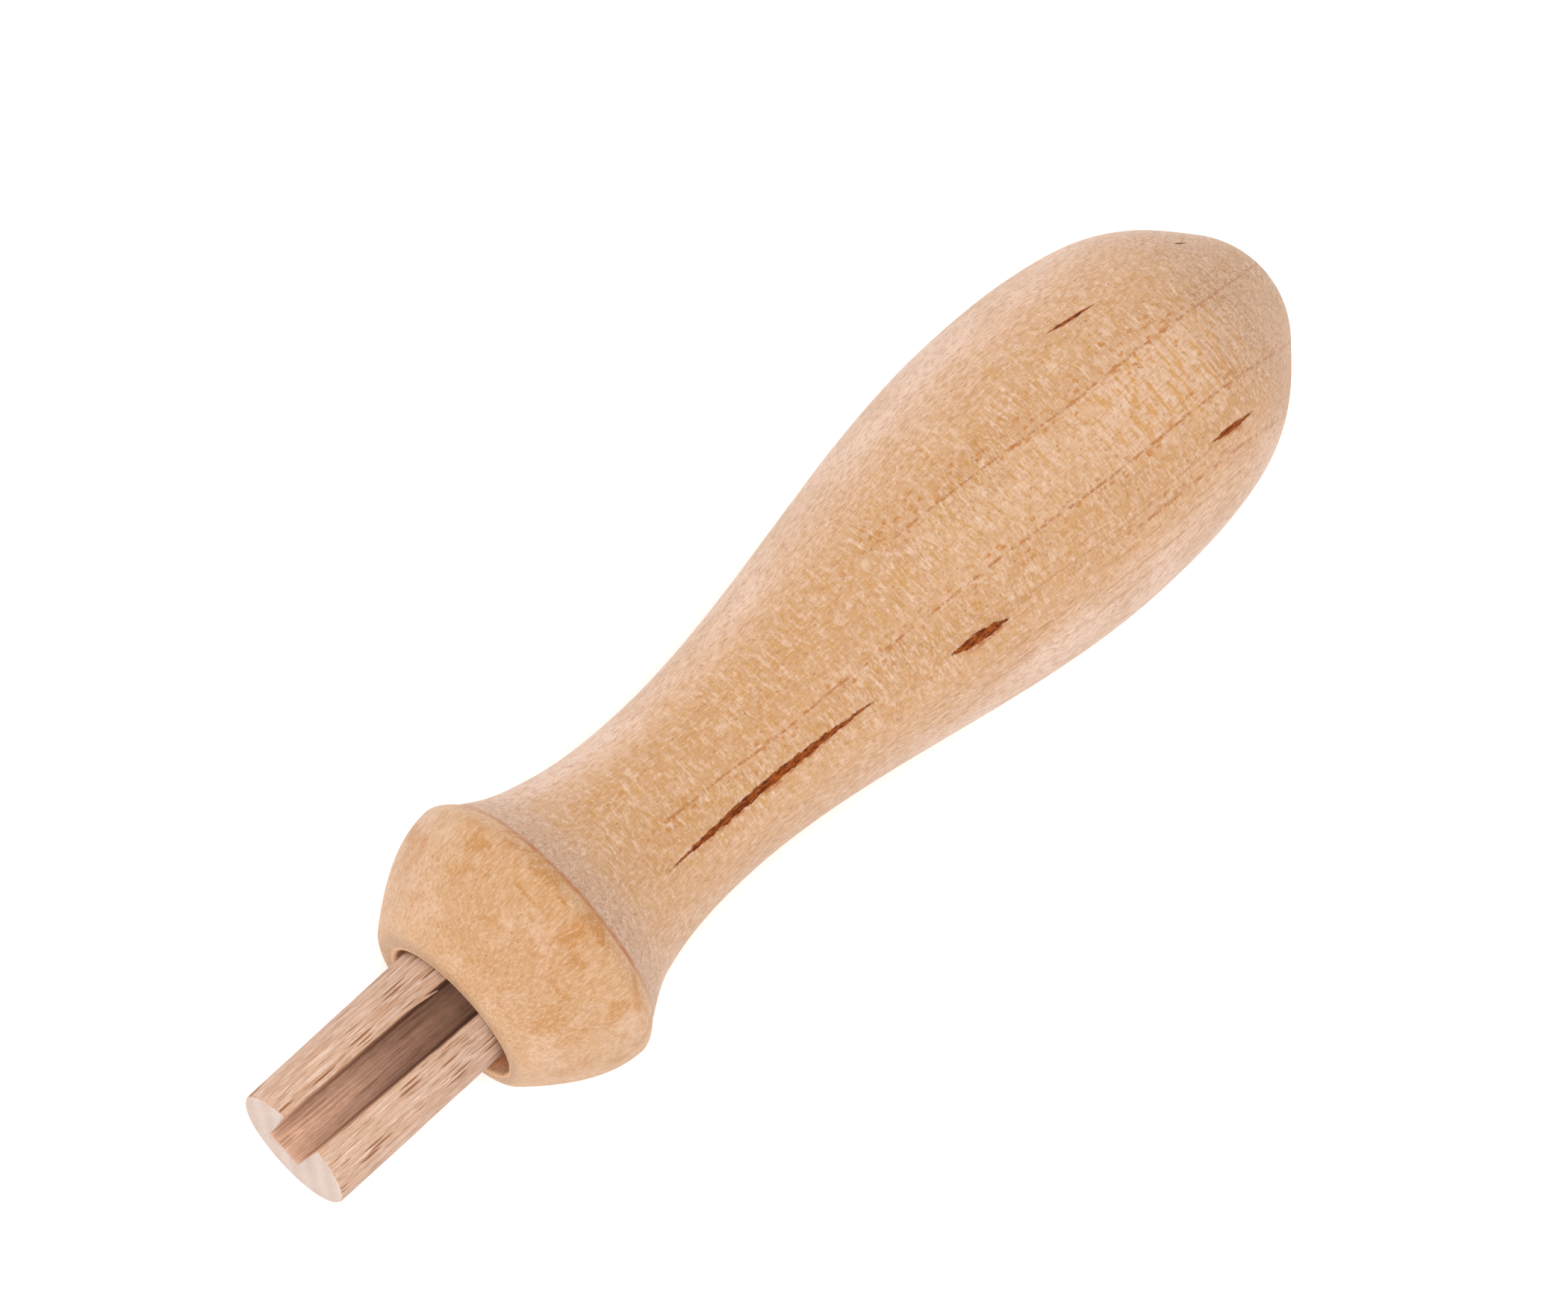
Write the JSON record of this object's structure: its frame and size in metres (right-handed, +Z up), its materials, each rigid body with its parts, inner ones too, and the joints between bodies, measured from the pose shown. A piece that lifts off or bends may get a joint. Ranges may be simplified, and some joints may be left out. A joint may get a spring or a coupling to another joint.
{
  "type": "turned tool handle with slotted dowel insert",
  "caption": "Turned maple hand-tool handle with a bulbous grip, slim neck and bead, holding a slotted beech dowel that slides in its bore and grips a tang.",
  "frame": {"origin": "centre of the handle's mouth, where the dowel comes out, on the handle's axis", "axes": "+X along the axis out of the mouth, the way the dowel and a tang point; the handle runs back along -X; +Z up, the side the dowel's slot opens to"},
  "size_m": [0.1161, 0.0292, 0.0292],
  "materials": {
    "maple": "satin, fine sanded, unvarnished",
    "beech": "matt, as cut"
  },
  "bodies": {
    "handle": {"turned_handle": "maple"},
    "dowel": {"slotted_dowel": "beech"}
  },
  "joints": [
    {"name": "dowel_slide", "type": "slide", "parent": "handle", "child": "dowel", "axis": [1, 0, 0], "range_m": [-0.0185, 0.0275]}
  ]
}
